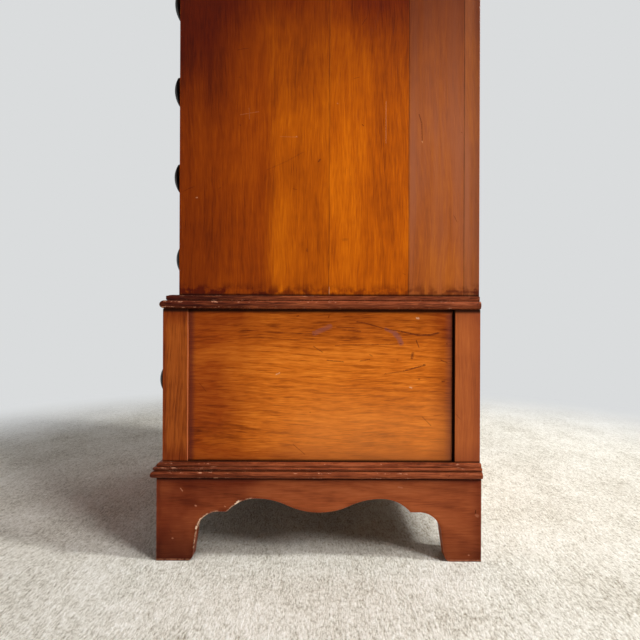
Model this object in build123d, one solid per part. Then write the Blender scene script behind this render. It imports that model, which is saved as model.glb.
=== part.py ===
from build123d import *
import math
import os

# Chest on chest: five drawers in the upper case, one deep drawer in the lower case, bracket base.
# Millimetres, +Z up, front towards -Y. The origin is under the middle of the whole piece.

# Cases
lower_width = 610
lower_depth = 508
upper_side_inset = 6
upper_setback = 24
case_board = 20
back_board = 6
top_board = 22
top_overhang = 18
top_round = 8
top_under_round = 3

# Drawer openings and the rails between them
upper_drawers = 5
upper_opening = 135
lower_opening = 208
rail_height = 20
rail_depth = 60
rail_shoulder = 10
housing_depth = 6
runner_width = 22
back_rebate = 8
stop_width = 30
stop_depth = 14
stop_height = 6
stop_inset = 70

# Frame and panel sides of the lower case
stile_width = 40
panel_recess = 5.5
panel_gap = 3
groove_setback = 4.5
groove_width = 5
groove_depth = 6
tongue_clearance = 0.3

# Edge-glued boards of an upper side, from front to back, as shares of its depth
side_board_shares = (0.314, 0.185, 0.265, 0.184, 0.052)

# Bracket base
skirt_height = 132
skirt_proud = 7
foot_width = 63
foot_flare = 5
foot_round = 10
scallop_spring = 43
scallop_radius = 35
shoulder_width = 14
arch_run = 46
arch_rise = 21
centre_drop = 22
back_skirt_height = 50
glue_block = 28
glue_block_lift = 6

# Base moulding, from its nose upwards
base_moulding_height = 23
base_reach = 15
base_nose_radius = 5.5
base_quirk = 1.5
base_bead_radius = 2.25
base_step = 2.5
base_ovolo_radius = 4.5

# Waist moulding, which holds the foot of the upper case
waist_height = 22
waist_reach = 4.5
waist_nose_radius = 6.5
waist_quirk = 1.2
waist_quirk_depth = 1.3
waist_step = 8.2
waist_camber_width = 10
waist_camber_height = 1.8

# Cornice moulding under the top board
cornice_height = 20
cornice_bead = 3
cornice_fillet = 1.5
cornice_cove_radius = 10

# Drawer boxes
front_thickness = 20
front_gap = 1.2
side_gap = 1.5
running_gap = 0.3
drawer_side = 12
side_drop = 6
drawer_back_gap = 22
back_inset = 8
back_drop = 8
back_dado = 4
bottom_thickness = 5
bottom_rise = 8
bottom_groove = 6
bottom_clearance = 0.2
tail_length = 13
tail_pitch = 34
tail_tip_share = 0.72
tail_root_share = 0.54
# The lowest drawer of the upper case has worn stops and shuts a little deeper
worn_drawer = upper_drawers
worn_setback = 4

# Turned knobs; those of the upper drawers sit below the middle, but for the worn drawer's
knob_spread = 408
upper_knob_drop = 9
knob_projection = 35
knob_radius = 26
knob_dome_radius = 42
knob_rim = 3
knob_rim_round = 1.5
knob_collar_radius = 12
knob_collar_height = 2.5
knob_neck_radius = 8.5
knob_hollow_radius = 12
knob_tenon_radius = 6
knob_tenon_length = 14
knob_tenon_clearance = 0.1
knob_socket_extra = 1

# Overrun of every cutting solid
overrun = 5

# Places worked out from the sizes above
lower_half = lower_width / 2
upper_half = lower_half - upper_side_inset
lower_inner = lower_half - case_board
upper_inner = upper_half - case_board
y_back = (lower_depth + knob_projection) / 2
y_lower = y_back - lower_depth
y_upper = y_lower + upper_setback
upper_depth = lower_depth - upper_setback
y_board_end = y_back - back_board
z_lower_opening = skirt_height + case_board + rail_height
z_waist = z_lower_opening + lower_opening + rail_height
z_upper_opening = z_waist + waist_height
z_top_rail = z_upper_opening + upper_drawers * upper_opening + (upper_drawers - 1) * rail_height
z_upper_top = z_top_rail + rail_height
z_top = z_upper_top + top_board

nodes = {}


def block(x, y, z):
    """Board between a low and a high place along each axis."""
    size = Box(x[1] - x[0], y[1] - y[0], z[1] - z[0], align=(Align.MIN, Align.MIN, Align.MIN))
    return Pos(x[0], y[0], z[0]) * size


def pair(piece):
    """A right-hand piece and its mirror image on the left."""
    return [piece, mirror(piece, about=Plane.YZ)]


def keep(name, *pieces):
    """Store the solids of one named sub-part."""
    solids = [solid for piece in pieces for solid in piece.solids()]
    nodes[name] = solids[0] if len(solids) == 1 else Compound(solids)


def prism(points):
    """Upright prism over a plan outline, taller than the whole chest."""
    outline = make_face(Polyline(*points, close=True))
    return Pos(0, 0, -overrun) * extrude(outline, amount=z_top + 2 * overrun)


def mitre_cutters(half, y_face, reach, width):
    """What a front length and a right-hand length lose at their shared mitre."""
    corner_x = half + reach
    corner_y = y_face - reach
    inner_x = corner_x - width
    inner_y = corner_y + width
    from_front = prism([
        (corner_x, corner_y),
        (corner_x + overrun, corner_y),
        (corner_x + overrun, y_back + overrun),
        (inner_x, y_back + overrun),
        (inner_x, inner_y),
    ])
    from_side = prism([
        (corner_x, corner_y),
        (inner_x, inner_y),
        (inner_x - overrun, inner_y),
        (inner_x - overrun, corner_y - overrun),
        (corner_x, corner_y - overrun),
    ])
    return from_front, from_side


def mitred_moulding(name, profile, half, y_face, z_base, reach, side_width):
    """Three lengths of one profile round the front and sides of a case, mitred at the corners."""
    section = Plane.XZ * profile
    front_length = 2 * (half + reach)
    front = Pos(-half - reach, y_face, z_base) * Rot(0, 0, -90) * extrude(section, amount=-front_length)
    side_length = y_back - y_face + reach
    side = Pos(half, y_face - reach, z_base) * extrude(section, amount=-side_length)
    inside = block((0, half + reach - side_width), (y_face - reach, y_back), (0, z_top))
    from_front, from_side = mitre_cutters(half, y_face, reach, side_width)
    front = front - [from_front, mirror(from_front, about=Plane.YZ)]
    side = side - [from_side, inside]
    keep(name, front, *pair(side))


def base_profile():
    """Section of the base moulding: outward along X, up along Y."""
    nose_x = base_reach - base_nose_radius
    nose_top = 2 * base_nose_radius
    bead_low = nose_top + base_quirk
    bead_top = bead_low + 2 * base_bead_radius
    band_x = nose_x - base_step
    ovolo_low = base_moulding_height - base_ovolo_radius
    outline = Line((0, 0), (nose_x, 0))
    outline += ThreePointArc((nose_x, 0), (base_reach, base_nose_radius), (nose_x, nose_top))
    outline += Line((nose_x, nose_top), (nose_x, bead_low))
    bead_tip = (nose_x + base_bead_radius, bead_low + base_bead_radius)
    outline += ThreePointArc((nose_x, bead_low), bead_tip, (nose_x, bead_top))
    outline += Polyline((nose_x, bead_top), (band_x, bead_top), (band_x, ovolo_low))
    ovolo_end = (band_x - base_ovolo_radius, base_moulding_height)
    outline += TangentArc((band_x, ovolo_low), ovolo_end, tangent=(0, 1))
    outline += Polyline(ovolo_end, (0, base_moulding_height), (0, 0))
    return make_face(outline)


def waist_profile():
    """Section of the waist moulding, from its nose in to the front of the upper case."""
    nose_x = waist_reach - waist_nose_radius
    nose_top = 2 * waist_nose_radius
    band_x = waist_reach - waist_step
    quirk_x = band_x - waist_quirk_depth
    quirk_top = nose_top + waist_quirk
    band_top = waist_height - waist_camber_height
    camber_end = (band_x - waist_camber_width, waist_height)
    outline = Line((-upper_setback, 0), (nose_x, 0))
    outline += ThreePointArc((nose_x, 0), (waist_reach, waist_nose_radius), (nose_x, nose_top))
    outline += Polyline((nose_x, nose_top), (quirk_x, nose_top), (quirk_x, quirk_top), (band_x, quirk_top))
    outline += Line((band_x, quirk_top), (band_x, band_top))
    outline += TangentArc(camber_end, (band_x, band_top), tangent=(1, 0))
    outline += Polyline(camber_end, (-upper_setback, waist_height), (-upper_setback, 0))
    return make_face(outline)


def cornice_profile():
    """Section of the cornice moulding: a small bead below a cove."""
    cove_x = cornice_bead + cornice_fillet
    cove_low = cornice_height - cornice_cove_radius - cornice_bead
    cove_top = cove_low + cornice_cove_radius
    reach = cove_x + cornice_cove_radius
    outline = Line((0, 0), (cornice_bead / 2, 0))
    bead_tip = (cornice_bead, cornice_bead / 2)
    outline += ThreePointArc((cornice_bead / 2, 0), bead_tip, (cornice_bead / 2, cornice_bead))
    outline += Polyline((cornice_bead / 2, cornice_bead), (cove_x, cornice_bead), (cove_x, cove_low))
    outline += TangentArc((cove_x, cove_low), (reach, cove_top), tangent=(0, 1))
    outline += Polyline((reach, cove_top), (reach, cornice_height), (0, cornice_height), (0, 0))
    return make_face(outline)


def skirt_board(half_length):
    """Skirt board standing on its feet, its inner face at Y zero and its outer face towards -Y."""
    foot_x = half_length - foot_width
    toe_x = foot_x + foot_flare
    scallop_x = foot_x - scallop_radius
    cusp_x = scallop_x - shoulder_width
    cusp_z = scallop_spring + scallop_radius
    crown_x = cusp_x - arch_run
    crown_z = cusp_z + arch_rise
    drop_z = crown_z - centre_drop
    middle = (crown_x / 2, (crown_z + drop_z) / 2)
    outline = TangentArc((0, drop_z), middle, tangent=(1, 0))
    outline += TangentArc((crown_x, crown_z), middle, tangent=(-1, 0))
    outline += TangentArc((crown_x, crown_z), (cusp_x, cusp_z), tangent=(1, 0))
    outline += Line((cusp_x, cusp_z), (scallop_x, cusp_z))
    outline += TangentArc((scallop_x, cusp_z), (foot_x, scallop_spring), tangent=(1, 0))
    outline += Line((foot_x, scallop_spring), (toe_x, foot_round))
    outline += TangentArc((toe_x + foot_round, 0), (toe_x, foot_round), tangent=(-1, 0))
    corner = (half_length, skirt_height)
    outline += Polyline((toe_x + foot_round, 0), (half_length, 0), corner, (0, skirt_height), (0, drop_z))
    half_board = extrude(Plane.XZ * make_face(outline), amount=case_board)
    return half_board + mirror(half_board, about=Plane.YZ)


def bracket_base():
    """Skirt boards on four feet, and the glue blocks in their corners."""
    skirt_inner = lower_half + skirt_proud - case_board
    y_front_inner = y_lower - skirt_proud + case_board
    half_side = (lower_depth + skirt_proud) / 2
    from_front, from_side = mitre_cutters(lower_half, y_lower, skirt_proud, case_board)
    front = Pos(0, y_front_inner, 0) * skirt_board(lower_half + skirt_proud)
    front = front - [from_front, mirror(from_front, about=Plane.YZ)]
    side = Pos(skirt_inner, y_back - half_side, 0) * Rot(0, 0, 90) * skirt_board(half_side)
    right, left = pair(side - from_side)
    keep("bracket_base_front", front)
    keep("bracket_base_right", right)
    keep("bracket_base_left", left)
    y_back_skirt = y_back - case_board
    back_z = (skirt_height - back_skirt_height, skirt_height)
    keep("bracket_base_back", block((-skirt_inner, skirt_inner), (y_back_skirt, y_back), back_z))
    block_x = (skirt_inner - glue_block, skirt_inner)
    block_z = (glue_block_lift, skirt_height)
    front_block = block(block_x, (y_front_inner, y_front_inner + glue_block), block_z)
    rear_block = block(block_x, (y_back_skirt - glue_block, y_back_skirt), block_z)
    keep("base_glue_blocks", *pair(front_block), *pair(rear_block))
    mitred_moulding(
        "base_moulding", base_profile(), lower_half, y_lower, skirt_height, base_reach, base_reach
    )


def rail(inner, y_face, z_low):
    """Front rail with a shouldered tongue at each end."""
    z = (z_low, z_low + rail_height)
    body = block((-inner, inner), (y_face, y_face + rail_depth), z)
    reach = inner + housing_depth
    return body + block((-reach, reach), (y_face + rail_shoulder, y_face + rail_depth), z)


def rail_housing(inner, y_face, z_low):
    """Room for a rail's tongue in a right-hand upright."""
    y = (y_face + rail_shoulder, y_face + rail_depth)
    return block((inner, inner + housing_depth), y, (z_low, z_low + rail_height))


def lower_case():
    """Frame and panel sides, boards, rails and runners of the lower case."""
    y_front_stile = y_lower + stile_width
    y_rear_stile = y_back - stile_width
    z_side_rail = skirt_height + base_moulding_height
    z_low_rail = z_lower_opening - rail_height
    z_top_rail_low = z_waist - rail_height
    x_wall = (lower_inner, lower_half)
    z_case = (skirt_height, z_waist)
    groove_x = (lower_inner + groove_setback, lower_inner + groove_setback + groove_width)
    groove_y = (y_front_stile - groove_depth, y_rear_stile + groove_depth)
    groove = block(groove_x, groove_y, (skirt_height - overrun, z_waist + overrun))
    housings = [rail_housing(lower_inner, y_lower, z_low_rail)]
    housings.append(rail_housing(lower_inner, y_lower, z_top_rail_low))
    front_stile = block(x_wall, (y_lower, y_front_stile), z_case) - [groove, *housings]
    rear_stile = block(x_wall, (y_rear_stile, y_back), z_case) - groove
    keep("lower_front_stiles", *pair(front_stile))
    keep("lower_rear_stiles", *pair(rear_stile))

    tongue_y = (groove_y[0] + tongue_clearance, groove_y[1] - tongue_clearance)
    side_rail = block(x_wall, (y_front_stile, y_rear_stile), (skirt_height, z_side_rail))
    side_rail += block(groove_x, tongue_y, (skirt_height, z_side_rail))
    rail_groove = block(groove_x, groove_y, (z_side_rail - groove_depth, z_side_rail))
    keep("lower_side_rails", *pair(side_rail - [rail_groove, *housings]))

    panel_x = (lower_inner, lower_half - panel_recess)
    panel = block(panel_x, (y_front_stile, y_rear_stile - panel_gap), (z_side_rail, z_waist))
    tongue_low = z_side_rail - groove_depth + tongue_clearance
    panel += block(groove_x, tongue_y, (tongue_low, z_waist))
    right, left = pair(panel - housings)
    keep("lower_side_panel_right", right)
    keep("lower_side_panel_left", left)

    x_inside = (-lower_inner, lower_inner)
    keep("lower_bottom_board", block(x_inside, (y_lower, y_board_end), (skirt_height, z_low_rail)))
    y_top_board = (y_lower + rail_depth, y_board_end)
    keep("lower_top_board", block(x_inside, y_top_board, (z_top_rail_low, z_waist)))
    keep("lower_back_panel", block(x_inside, (y_board_end, y_back), z_case))
    low_rail = rail(lower_inner, y_lower, z_low_rail)
    high_rail = rail(lower_inner, y_lower, z_top_rail_low)
    keep("lower_front_rails", low_rail, high_rail)
    runner_x = (lower_inner - runner_width, lower_inner)
    runner = block(runner_x, (y_lower + rail_depth, y_board_end), (z_low_rail, z_lower_opening))
    keep("lower_runners", *pair(runner))
    mitred_moulding(
        "waist_moulding",
        waist_profile(),
        lower_half,
        y_lower,
        z_waist,
        waist_reach,
        waist_reach + upper_side_inset,
    )


def upper_case():
    """Board sides, rails, runners, top and cornice of the upper case."""
    rail_levels = [
        z_upper_opening + number * (upper_opening + rail_height) - rail_height
        for number in range(1, upper_drawers + 1)
    ]
    cuts = [rail_housing(upper_inner, y_upper, level) for level in rail_levels]
    rebate_x = (upper_inner, upper_inner + back_rebate)
    cuts.append(block(rebate_x, (y_board_end, y_back), (z_waist, z_upper_top)))
    boards = []
    y_board = y_upper
    for share in side_board_shares:
        y_next = y_board + share * upper_depth
        boards.append(block((upper_inner, upper_half), (y_board, y_next), (z_waist, z_upper_top)) - cuts)
        y_board = y_next
    keep("upper_side_right", *boards)
    keep("upper_side_left", *[mirror(board, about=Plane.YZ) for board in boards])

    x_inside = (-upper_inner, upper_inner)
    z_bottom = (z_waist, z_upper_opening)
    keep("upper_bottom_board", block(x_inside, (y_upper, y_board_end), z_bottom))
    keep("upper_front_rails", *[rail(upper_inner, y_upper, level) for level in rail_levels])
    runner_x = (upper_inner - runner_width, upper_inner)
    runner_y = (y_upper + rail_depth, y_board_end)
    runners = [block(runner_x, runner_y, (level, level + rail_height)) for level in rail_levels[:-1]]
    keep("upper_runners", *[side for runner in runners for side in pair(runner)])
    panel_reach = upper_inner + back_rebate - tongue_clearance
    keep("upper_back_panel", block((-panel_reach, panel_reach), (y_board_end, y_back), (z_waist, z_upper_top)))

    top_x = upper_half + top_overhang
    top = block((-top_x, top_x), (y_upper - top_overhang, y_back), (z_upper_top, z_top))
    rear_edges = top.edges().filter_by_position(Axis.Y, y_back, y_back)
    rims = top.edges() - rear_edges
    top = fillet(rims.filter_by_position(Axis.Z, z_top, z_top), top_round)
    lower_rims = top.edges().filter_by_position(Axis.Z, z_upper_top, z_upper_top)
    lower_rims = lower_rims - lower_rims.filter_by_position(Axis.Y, y_back, y_back)
    keep("upper_top_board", fillet(lower_rims, top_under_round))
    reach = cornice_bead + cornice_fillet + cornice_cove_radius
    z_cornice = z_upper_top - cornice_height
    mitred_moulding("cornice_moulding", cornice_profile(), upper_half, y_upper, z_cornice, reach, reach)


def knob_solid():
    """Turned knob with its tenon, pointing towards -Y from its seat on the drawer front."""
    dome_height = knob_dome_radius - math.sqrt(knob_dome_radius**2 - knob_radius**2)
    rim_top = knob_projection - dome_height
    rim_low = rim_top - knob_rim
    neck_low = knob_collar_height + knob_collar_radius - knob_neck_radius
    neck_top = rim_low - knob_hollow_radius
    hollow_end = (knob_neck_radius + knob_hollow_radius, rim_low)
    rim_start = (knob_radius - knob_rim_round, rim_low)
    rim_side = (knob_radius, rim_low + knob_rim_round)
    outline = Polyline(
        (0, -knob_tenon_length),
        (knob_tenon_radius, -knob_tenon_length),
        (knob_tenon_radius, 0),
        (knob_collar_radius, 0),
        (knob_collar_radius, knob_collar_height),
    )
    neck_start = (knob_neck_radius, neck_low)
    outline += TangentArc((knob_collar_radius, knob_collar_height), neck_start, tangent=(-1, 0))
    outline += Line(neck_start, (knob_neck_radius, neck_top))
    outline += TangentArc((knob_neck_radius, neck_top), hollow_end, tangent=(0, 1))
    outline += Line(hollow_end, rim_start)
    outline += TangentArc(rim_start, rim_side, tangent=(1, 0))
    outline += Line(rim_side, (knob_radius, rim_top))
    outline += TangentArc((0, knob_projection), (knob_radius, rim_top), tangent=(1, 0))
    outline += Line((0, knob_projection), (0, -knob_tenon_length))
    return Rot(0, 0, 180) * revolve(make_face(outline), Axis.Y)


def dovetails(half, y_inner, z_low, z_high):
    """Tails on the front end of a right-hand drawer side."""
    height = z_high - z_low
    count = max(1, round(height / tail_pitch))
    pitch = height / count
    tip = pitch * tail_tip_share / 2
    root = pitch * tail_root_share / 2
    tails = []
    for number in range(count):
        z = z_low + (number + 0.5) * pitch
        outline = Polyline(
            (y_inner, z - root),
            (y_inner - tail_length, z - tip),
            (y_inner - tail_length, z + tip),
            (y_inner, z + root),
            close=True,
        )
        tail = extrude(Plane.YZ * make_face(outline), amount=drawer_side)
        tails.append(Pos(half - drawer_side, 0, 0) * tail)
    return tails


def drawer(number, half_opening, y_case, z_floor, opening, setback, knob_drop):
    """Front, sides, back, bottom and knobs of one drawer."""
    name = f"drawer_{number}"
    half = half_opening - side_gap
    x_inner = half - drawer_side
    y_front = y_case + setback
    y_inner = y_front + front_thickness
    y_rear = y_board_end - drawer_back_gap
    z_low = z_floor + running_gap
    z_high = z_floor + opening - side_drop
    groove_low = z_low + bottom_rise
    groove_high = groove_low + bottom_thickness + bottom_clearance
    groove_x = x_inner + bottom_groove
    groove = block((-groove_x, groove_x), (y_inner - bottom_groove, y_rear + overrun), (groove_low, groove_high))

    tails = dovetails(half, y_inner, z_low, z_high)
    front_z = (z_floor + front_gap, z_floor + opening - front_gap)
    front = block((-half, half), (y_front, y_inner), front_z)
    front = front - [side for tail in tails for side in pair(tail)] - groove
    knob_z = z_floor + opening / 2 - knob_drop
    socket_depth = knob_tenon_length + knob_socket_extra
    socket_radius = knob_tenon_radius + knob_tenon_clearance
    socket = Rot(90, 0, 0) * Cylinder(socket_radius, socket_depth, align=(Align.CENTER, Align.CENTER, Align.MAX))
    for x in (-knob_spread / 2, knob_spread / 2):
        front -= Pos(x, y_front, knob_z) * socket
    keep(f"{name}_front", front)

    back_y = (y_rear - back_inset - drawer_side, y_rear - back_inset)
    back_x = x_inner + back_dado
    back = block((-back_x, back_x), back_y, (groove_high, z_high - back_drop))
    side = block((x_inner, half), (y_inner, y_rear), (z_low, z_high)) + tails
    keep(f"{name}_sides", *pair(side - [groove, back]))
    keep(f"{name}_back", back)

    bottom_x = groove_x - bottom_clearance
    bottom_y = (y_inner - bottom_groove + bottom_clearance, y_rear)
    keep(f"{name}_bottom", block((-bottom_x, bottom_x), bottom_y, (groove_low, groove_low + bottom_thickness)))
    knob = Pos(knob_spread / 2, y_front, knob_z) * knob_solid()
    keep(f"{name}_knobs", *pair(knob))

    stop_x = half_opening - stop_inset
    stop_y = y_inner + running_gap
    stop = block((stop_x - stop_width, stop_x), (stop_y, stop_y + stop_depth), (z_floor, z_floor + stop_height))
    return pair(stop)


def drawers():
    """All drawers, numbered from the top down, and the stops that they shut against."""
    stops = []
    for number in range(1, upper_drawers + 1):
        level = upper_drawers - number
        z_floor = z_upper_opening + level * (upper_opening + rail_height)
        setback = worn_setback if number == worn_drawer else 0
        knob_drop = 0 if number == worn_drawer else upper_knob_drop
        stops += drawer(number, upper_inner, y_upper, z_floor, upper_opening, setback, knob_drop)
    stops += drawer(upper_drawers + 1, lower_inner, y_lower, z_lower_opening, lower_opening, 0, 0)
    keep("drawer_stops", *stops)


bracket_base()
lower_case()
upper_case()
drawers()

os.makedirs("parts", exist_ok=True)
for node, shape in nodes.items():
    export_step(shape, f"parts/{node}.step")
print(len(nodes), "nodes, total height", z_top)
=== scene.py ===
import math

import bpy
from mathutils import Matrix, Vector


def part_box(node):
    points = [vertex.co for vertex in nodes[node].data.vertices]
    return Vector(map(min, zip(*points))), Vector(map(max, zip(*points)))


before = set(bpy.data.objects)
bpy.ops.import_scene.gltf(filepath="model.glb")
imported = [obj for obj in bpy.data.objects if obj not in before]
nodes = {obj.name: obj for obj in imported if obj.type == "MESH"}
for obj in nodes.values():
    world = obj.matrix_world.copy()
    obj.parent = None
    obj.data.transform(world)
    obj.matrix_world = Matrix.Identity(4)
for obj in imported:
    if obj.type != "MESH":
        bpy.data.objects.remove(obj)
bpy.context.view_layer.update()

# Chest on chest of stained and varnished wood, seen square on to its right-hand side.
# Metres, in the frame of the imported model: +Z up, front towards -Y.

# Faces of the two cases, read from the frame
UPPER_LOW, UPPER_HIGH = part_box("upper_side_right")
LOWER_LOW, LOWER_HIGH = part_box("lower_front_stiles")
PANEL_FRONT = LOWER_HIGH.y
PANEL_GAP = 0.003
PANEL_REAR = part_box("lower_rear_stiles")[0].y - PANEL_GAP
Y_BACK = UPPER_HIGH.y
Y_UPPER = UPPER_LOW.y
Y_LOWER = LOWER_LOW.y
X_UPPER = UPPER_HIGH.x
X_LOWER = LOWER_HIGH.x
Z_WAIST = LOWER_HIGH.z
Z_WAIST_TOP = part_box("waist_moulding")[1].z
Z_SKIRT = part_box("base_moulding")[0].z
Z_BASE_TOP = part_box("base_moulding")[1].z

# The photograph: a square frame of 640 pixels, its optical axis level and in the middle
PHOTO_SIZE = 640
FOCAL_PIXELS = 480
EYE_DISTANCE = 0.7677
EYE_HEIGHT = 0.3823
EYE_BEHIND_FRONT = 0.2513
ROLL_DEGREES = 0.22
SENSOR = 36


def linear(red, green, blue):
    """Linear colour of an sRGB colour given from 0 to 255."""
    channels = [value / 255 for value in (red, green, blue)]
    return tuple(c / 12.92 if c <= 0.04045 else ((c + 0.055) / 1.055) ** 2.4 for c in channels) + (1.0,)


class Wire:
    """A number carried by a node tree, with plain arithmetic."""

    def __init__(self, tree, socket):
        self.tree = tree
        self.socket = socket

    def __add__(self, other):
        return self.tree.math("ADD", self, other)

    def __sub__(self, other):
        return self.tree.math("SUBTRACT", self, other)

    def __rsub__(self, other):
        return self.tree.math("SUBTRACT", other, self)

    def __mul__(self, other):
        return self.tree.math("MULTIPLY", self, other)

    def __truediv__(self, other):
        return self.tree.math("DIVIDE", self, other)

    def __gt__(self, other):
        return self.tree.math("GREATER_THAN", self, other)

    def __lt__(self, other):
        return self.tree.math("LESS_THAN", self, other)

    def __abs__(self):
        return self.tree.math("ABSOLUTE", self)

    __radd__ = __add__
    __rmul__ = __mul__


class Tree:
    """Short calls that build one node tree."""

    def __init__(self, owner):
        owner.use_nodes = True
        self.owner = owner
        self.tree = owner.node_tree
        self.tree.nodes.clear()

    def node(self, kind, **settings):
        made = self.tree.nodes.new(kind)
        for key, value in settings.items():
            setattr(made, key, value)
        return made

    def put(self, socket, value):
        if isinstance(value, Wire):
            self.tree.links.new(value.socket, socket)
        elif value is not None:
            socket.default_value = value

    def math(self, operation, *values, clamp=False):
        made = self.node("ShaderNodeMath", operation=operation, use_clamp=clamp)
        for socket, value in zip(made.inputs, values):
            self.put(socket, value)
        return Wire(self, made.outputs[0])

    def clamp(self, value):
        return self.math("ADD", value, 0.0, clamp=True)

    def highest(self, first, second):
        return self.math("MAXIMUM", first, second)

    def vector_math(self, operation, first, second=None, scale=None, output=0):
        made = self.node("ShaderNodeVectorMath", operation=operation)
        self.put(made.inputs[0], first)
        self.put(made.inputs[1], second)
        if scale is not None:
            self.put(made.inputs["Scale"], scale)
        return Wire(self, made.outputs[output])

    def span(self, value, low, high, to_low=0.0, to_high=1.0, smooth=True):
        """Maps value from low..high to to_low..to_high, held at the ends."""
        made = self.node("ShaderNodeMapRange", interpolation_type="SMOOTHSTEP" if smooth else "LINEAR")
        for socket, item in zip(made.inputs, (value, low, high, to_low, to_high)):
            self.put(socket, item)
        return Wire(self, made.outputs[0])

    def near(self, value, place, reach):
        """1 at a place, falling smoothly to 0 at reach from it."""
        return self.span(abs(value - place), reach, 0.0)

    def mix(self, factor, first, second, blend="MIX"):
        made = self.node("ShaderNodeMix", data_type="RGBA", blend_type=blend, clamp_factor=True)
        self.put(made.inputs[0], factor)
        self.put(made.inputs[6], first)
        self.put(made.inputs[7], second)
        return Wire(self, made.outputs[2])

    def ramp(self, factor, *stops):
        """Colour ramp through (place, colour) stops."""
        made = self.node("ShaderNodeValToRGB")
        elements = made.color_ramp.elements
        while len(elements) < len(stops):
            elements.new(0.5)
        for element, (place, colour) in zip(elements, stops):
            element.position = place
            element.color = colour
        self.put(made.inputs[0], factor)
        return Wire(self, made.outputs[0])

    def vector(self, x, y, z=0.0):
        made = self.node("ShaderNodeCombineXYZ")
        for socket, value in zip(made.inputs, (x, y, z)):
            self.put(socket, value)
        return Wire(self, made.outputs[0])

    def parts(self, vector):
        made = self.node("ShaderNodeSeparateXYZ")
        self.put(made.inputs[0], vector)
        return [Wire(self, output) for output in made.outputs]

    def cell_place(self, x, y, z, per_metre):
        """Point with so many cells to the metre, given once or for each axis."""
        counts = per_metre if isinstance(per_metre, tuple) else (per_metre, per_metre, per_metre)
        scaled = [part if count == 1 else part * count for part, count in zip((x, y, z), counts)]
        return self.vector(*scaled)

    def noise(self, x, y, z, per_metre, detail=2.0, roughness=0.5):
        """Noise from 0 to 1 with so many cells to the metre."""
        made = self.node("ShaderNodeTexNoise")
        self.put(made.inputs["Vector"], self.cell_place(x, y, z, per_metre))
        made.inputs["Scale"].default_value = 1.0
        made.inputs["Detail"].default_value = detail
        made.inputs["Roughness"].default_value = roughness
        return Wire(self, made.outputs[0])

    def cells(self, x, y, z, per_metre, flat=False):
        """Distance to the nearest random point in cells, its three random numbers and its place."""
        made = self.node("ShaderNodeTexVoronoi", voronoi_dimensions="2D" if flat else "3D")
        self.put(made.inputs["Vector"], self.cell_place(x, y, z, per_metre))
        made.inputs["Scale"].default_value = 1.0
        chance = self.node("ShaderNodeSeparateColor")
        self.put(chance.inputs[0], Wire(self, made.outputs["Color"]))
        numbers = [Wire(self, output) for output in chance.outputs]
        return Wire(self, made.outputs["Distance"]), numbers, Wire(self, made.outputs["Position"])

    def place(self):
        """The point's X, Y and Z in metres, glued to its piece."""
        coordinates = self.node("ShaderNodeTexCoord")
        return self.parts(Wire(self, coordinates.outputs["Object"]))

    def normal(self):
        return Wire(self, self.node("ShaderNodeNewGeometry").outputs["Normal"])

    def corner(self):
        """1 where the surface is turned away from the axes, as on an eased edge."""
        x, y, z = [abs(part) for part in self.parts(self.normal())]
        return self.span(self.highest(self.highest(x, y), z), 0.985, 0.8)

    def edge(self, radius):
        """How much the surface turns within radius: 0 on a flat, 1 beside a square edge."""
        soft = self.node("ShaderNodeBevel", samples=8)
        soft.inputs["Radius"].default_value = radius
        dot = self.vector_math("DOT_PRODUCT", Wire(self, soft.outputs[0]), self.normal(), output=1)
        return self.span(dot, 1.0, 0.72, smooth=False)

    def openness(self, reach, **settings):
        """1 in the open, less where surfaces within reach close the point in."""
        made = self.node("ShaderNodeAmbientOcclusion", samples=8, **settings)
        made.inputs["Distance"].default_value = reach
        return Wire(self, made.outputs["AO"])

    def hollow(self, reach):
        """How deep the point lies in a groove or inner corner of its own piece."""
        return 1.0 - self.openness(reach, only_local=True)

    def surface(self, colour, roughness, height, depth, specular=0.5, coat=0.0, coat_roughness=0.2):
        """Principled surface; what is the same all over stays on the shader's own sockets."""
        shader = self.node("ShaderNodeBsdfPrincipled")
        self.put(shader.inputs["Base Color"], colour)
        self.put(shader.inputs["Roughness"], roughness)
        shader.inputs["Specular IOR Level"].default_value = specular
        self.put(shader.inputs["Coat Weight"], coat)
        shader.inputs["Coat Roughness"].default_value = coat_roughness
        bump = self.node("ShaderNodeBump")
        bump.inputs["Distance"].default_value = depth
        self.put(bump.inputs["Height"], height)
        self.put(shader.inputs["Normal"], Wire(self, bump.outputs[0]))
        return Wire(self, shader.outputs[0])

    def finish(self, shader, kind="Material"):
        out = self.node("ShaderNodeOutput" + kind)
        self.put(out.inputs["Surface"], shader)
        return self.owner


# Camera, square on to the right-hand side
camera_data = bpy.data.cameras.new("camera")
camera_data.sensor_fit = "HORIZONTAL"
camera_data.sensor_width = SENSOR
camera_data.lens = SENSOR * FOCAL_PIXELS / PHOTO_SIZE
camera = bpy.data.objects.new("camera", camera_data)
bpy.context.scene.collection.objects.link(camera)
eye = Vector((X_LOWER + EYE_DISTANCE, Y_LOWER + EYE_BEHIND_FRONT, EYE_HEIGHT))
facing = Vector((-1, 0, 0)).to_track_quat("-Z", "Y").to_matrix().to_4x4()
roll = Matrix.Rotation(math.radians(ROLL_DEGREES), 4, "Z")
camera.matrix_world = Matrix.Translation(eye) @ facing @ roll
bpy.context.scene.camera = camera
bpy.context.scene.view_settings.view_transform = "Standard"

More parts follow.
